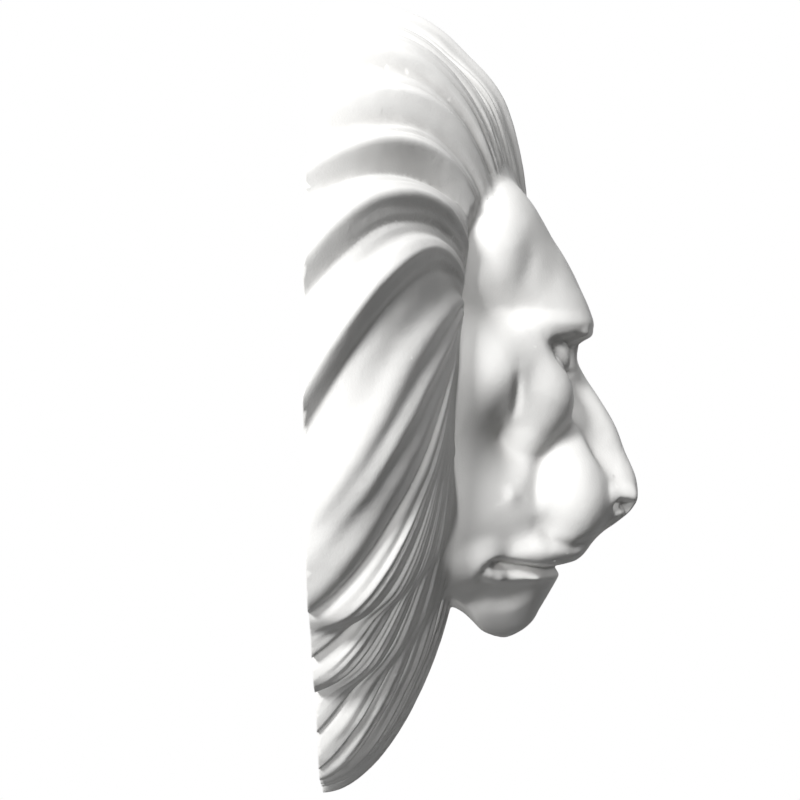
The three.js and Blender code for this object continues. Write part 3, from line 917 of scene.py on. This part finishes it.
        drift = self.strand_drift.node(tree)
        stray = joined("SUBTRACT", drift.outputs["Fac"], 0.5)
        stray = joined("MULTIPLY", stray, entry.outputs["Strand wander"])
        phase = joined("MULTIPLY", joined("ADD", attribute("comb"), stray), 2 * math.pi)
        wave = joined("MULTIPLY", nodes_cosine(tree, phase), -1.0)
        swell = self.strand_swell.node(tree)
        links.new(joined("MULTIPLY", attribute("comb"), self.swell_step), swell.inputs["W"])
        wave = joined("MULTIPLY", wave, joined("MULTIPLY", swell.outputs["Fac"], self.swell_gain))
        wave = joined("MULTIPLY", wave, attribute("comb_depth"))
        combed = joined("MULTIPLY", wave, entry.outputs["Strand relief"])
        touch = self.hand_touch.node(tree)
        uneven = joined("SUBTRACT", touch.outputs["Fac"], 0.5)
        uneven = joined("MULTIPLY", uneven, entry.outputs["Hand unevenness"])
        normal = nodes.new("GeometryNodeInputNormal")
        push = nodes.new("ShaderNodeVectorMath")
        push.operation = "SCALE"
        links.new(normal.outputs["Normal"], push.inputs[0])
        links.new(joined("ADD", combed, joined("MULTIPLY", uneven, 2.0)), push.inputs["Scale"])
        place = nodes.new("GeometryNodeInputPosition")
        split = nodes.new("ShaderNodeSeparateXYZ")
        links.new(place.outputs["Position"], split.inputs["Vector"])
        front = nodes.new("FunctionNodeCompare")
        front.operation = "LESS_THAN"
        front.inputs["B"].default_value = self.on_wall
        links.new(split.outputs["Y"], front.inputs["A"])
        move = nodes.new("GeometryNodeSetPosition")
        links.new(entry.outputs["Geometry"], move.inputs["Geometry"])
        links.new(front.outputs["Result"], move.inputs["Selection"])
        links.new(push.outputs["Vector"], move.inputs["Offset"])
        realize = nodes.new("GeometryNodeRealizeInstances")
        links.new(move.outputs["Geometry"], realize.inputs["Geometry"])
        dress = nodes.new("GeometryNodeSetMaterial")
        dress.inputs["Material"].default_value = material
        links.new(realize.outputs["Geometry"], dress.inputs["Geometry"])
        links.new(dress.outputs["Geometry"], exit_node.inputs["Geometry"])
        return tree

    def build(self) -> bpy.types.Object:
        """Make the casting and put it in the frame's place.

        Returns:
            The casting.
        """
        material = self.finish.material()
        sheet = self.sheet()
        LOG.info("skin laid out: %d faces", len(sheet.data.polygons))
        comb = sheet.modifiers.new("combed_strands", "NODES")
        comb.node_group = self.combing(material)
        settings = self.settings()
        for socket in comb.node_group.interface.items_tree:
            if socket.in_out == "INPUT" and socket.name in settings:
                comb[socket.identifier] = settings[socket.name]
        thin = sheet.modifiers.new("thinned", "DECIMATE")
        thin.ratio = self.most_faces / (2 * len(sheet.data.polygons))
        thin.use_collapse_triangulate = True
        evaluated = sheet.evaluated_get(bpy.context.evaluated_depsgraph_get())
        mesh = bpy.data.meshes.new_from_object(evaluated)
        sheet.modifiers.clear()
        bpy.data.objects.remove(sheet)
        mesh.name = "plaster_lion"
        mesh.materials.clear()
        mesh.materials.append(material)
        mark_painted_shade(mesh)
        mesh.shade_smooth()
        flatten_back(mesh)
        piece = bpy.data.objects.new("plaster_lion", mesh)
        bpy.context.collection.objects.link(piece)
        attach(piece, "root")
        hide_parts("lion_mask")
        LOG.info("plaster lion: %d faces", len(mesh.polygons))
        return piece


def flatten_back(mesh: bpy.types.Mesh) -> None:
    """Shade the faces of the flat back as one plane with a crisp rim.

    Args:
        mesh: The mesh of the casting.
    """
    normals = np.empty(3 * len(mesh.polygons))
    mesh.polygons.foreach_get("normal", normals)
    mesh.polygons.foreach_set("use_smooth", normals[1::3] < FACES_BACK)


def nodes_cosine(tree: bpy.types.NodeTree, value: bpy.types.NodeSocket) -> bpy.types.NodeSocket:
    """Take the cosine of a value in a node tree.

    Args:
        tree: The node tree.
        value: The value.

    Returns:
        Its cosine.
    """
    node = tree.nodes.new("ShaderNodeMath")
    node.operation = "COSINE"
    tree.links.new(value, node.inputs[0])
    return node.outputs["Value"]


def mark_painted_shade(mesh: bpy.types.Mesh, passes: int = 10, deepest: float = 0.0016) -> None:
    """Mark how deep each vertex lies below its surroundings, for painted shade in the hollows.

    Args:
        mesh: The mesh, which gets an attribute named hollow.
        passes: How many rounds of evening out its surroundings are taken over.
        deepest: The depth that counts as fully hollow, in metres.
    """
    count = len(mesh.vertices)
    places = np.empty(count * 3, np.float32)
    mesh.vertices.foreach_get("co", places)
    places = places.reshape(-1, 3)
    normals = np.empty(count * 3, np.float32)
    mesh.vertex_normals.foreach_get("vector", normals)
    ends = np.empty(len(mesh.edges) * 2, np.int32)
    mesh.edges.foreach_get("vertices", ends)
    first, second = ends.reshape(-1, 2).T
    links = np.bincount(ends, minlength=count)[:, None]
    evened = places.copy()
    for _ in range(passes):
        total = np.zeros_like(evened)
        for axis in range(3):
            total[:, axis] = np.bincount(first, evened[second, axis], count)
            total[:, axis] += np.bincount(second, evened[first, axis], count)
        evened = (evened + total / links) / 2
    depth = ((evened - places) * normals.reshape(-1, 3)).sum(1)
    # painted shade: the deeper a vertex lies, the more of the darker colour it gets
    hollow = mesh.attributes.new("hollow", "FLOAT", "POINT")
    hollow.data.foreach_set("value", np.clip(depth / deepest, 0, 1).astype(np.float32))


@dataclass(frozen=True)
class Lamp:
    """A soft lamp far away."""

    toward: Place
    strength: float
    softness: float
    shadows: bool = True

    def hang(self, name: str) -> None:
        """Hang the lamp.

        Args:
            name: What to call it.
        """
        data = bpy.data.lights.new(name, "SUN")
        data.energy = self.strength
        data.angle = self.softness
        data.use_shadow = self.shadows
        lamp = bpy.data.objects.new(name, data)
        toward = np.array(self.toward) / np.linalg.norm(self.toward)
        lamp.rotation_euler = (math.acos(toward[2]), 0, math.atan2(toward[1], toward[0]) + math.pi / 2)
        bpy.context.collection.objects.link(lamp)


@dataclass(frozen=True)
class Studio:
    """A pale floor, plain soft light and a camera at the picture's viewing angle."""

    camera_place: Place = (-0.8, -0.0385, 0.0)
    lens: float = 72.0
    sensor: float = 36.0
    sight: float = 20.0
    floor_drop: float = 1.1
    floor_radius: float = 0.45
    floor_sides: int = 64
    floor_tone: float = 0.85
    floor_roughness: float = 0.9
    key: Lamp = Lamp((-0.76, 0.39, 0.44), 3.7, math.radians(12))
    wash: Lamp = Lamp((-0.76, 0.39, 0.44), 1.8, math.radians(14), shadows=False)
    dome: Lamp = Lamp((-0.05, -0.1, 1.0), 0.3, math.radians(130))
    fill: Lamp = Lamp((0.75, -0.6, 0.28), 1.3, math.radians(60))
    sky: float = 0.04

    def camera(self) -> None:
        """Place the camera."""
        data = bpy.data.cameras.new("picture_camera")
        data.lens = self.lens
        data.sensor_width = self.sensor
        data.clip_end = self.sight
        camera = bpy.data.objects.new("picture_camera", data)
        camera.location = self.camera_place
        camera.rotation_euler = (math.radians(90), 0, math.radians(-90))
        bpy.context.collection.objects.link(camera)
        bpy.context.scene.camera = camera

    def floor(self) -> None:
        """Lay the pale floor, below the mask, which hangs on its back."""
        turns = [2 * math.pi * i / self.floor_sides for i in range(self.floor_sides)]
        radius = self.floor_radius
        rim = [(radius * math.cos(turn), radius * math.sin(turn), -self.floor_drop) for turn in turns]
        mesh = bpy.data.meshes.new("pale_floor")
        mesh.from_pydata(rim, [], [list(range(self.floor_sides))])
        material = bpy.data.materials.new("pale_floor")
        material.use_nodes = True
        shader = material.node_tree.nodes["Principled BSDF"]
        shader.inputs["Base Color"].default_value = (*[self.floor_tone] * 3, 1)
        shader.inputs["Roughness"].default_value = self.floor_roughness
        mesh.materials.append(material)
        floor = bpy.data.objects.new("pale_floor", mesh)
        bpy.context.collection.objects.link(floor)

    def light(self) -> None:
        """Hang the lamps in a white surround that lights the shadows a little."""
        for name, lamp in (("key", self.key), ("wash", self.wash), ("dome", self.dome), ("fill", self.fill)):
            lamp.hang(name)
        world = bpy.data.worlds.new("white_surround")
        world.use_nodes = True
        bpy.context.scene.world = world
        nodes, links = world.node_tree.nodes, world.node_tree.links
        seen, lit = nodes["Background"], nodes.new("ShaderNodeBackground")
        seen.inputs["Color"].default_value = (1, 1, 1, 1)
        seen.inputs["Strength"].default_value = 1.0
        lit.inputs["Color"].default_value = (1, 1, 1, 1)
        lit.inputs["Strength"].default_value = self.sky
        path, pick = nodes.new("ShaderNodeLightPath"), nodes.new("ShaderNodeMixShader")
        links.new(path.outputs["Is Camera Ray"], pick.inputs[0])
        links.new(lit.outputs["Background"], pick.inputs[1])
        links.new(seen.outputs["Background"], pick.inputs[2])
        links.new(pick.outputs["Shader"], nodes["World Output"].inputs["Surface"])
        bpy.context.scene.view_settings.view_transform = "Standard"

    def build(self) -> None:
        """Build the whole studio."""
        self.camera()
        self.floor()
        self.light()
        LOG.info("studio built")


def main() -> None:
    """Build the scene: the studio and the dressed model."""
    logging.basicConfig(level=logging.INFO, format="%(name)s: %(message)s")
    Studio().build()
    LionMask().build()


if __name__ == "__main__":
    main()
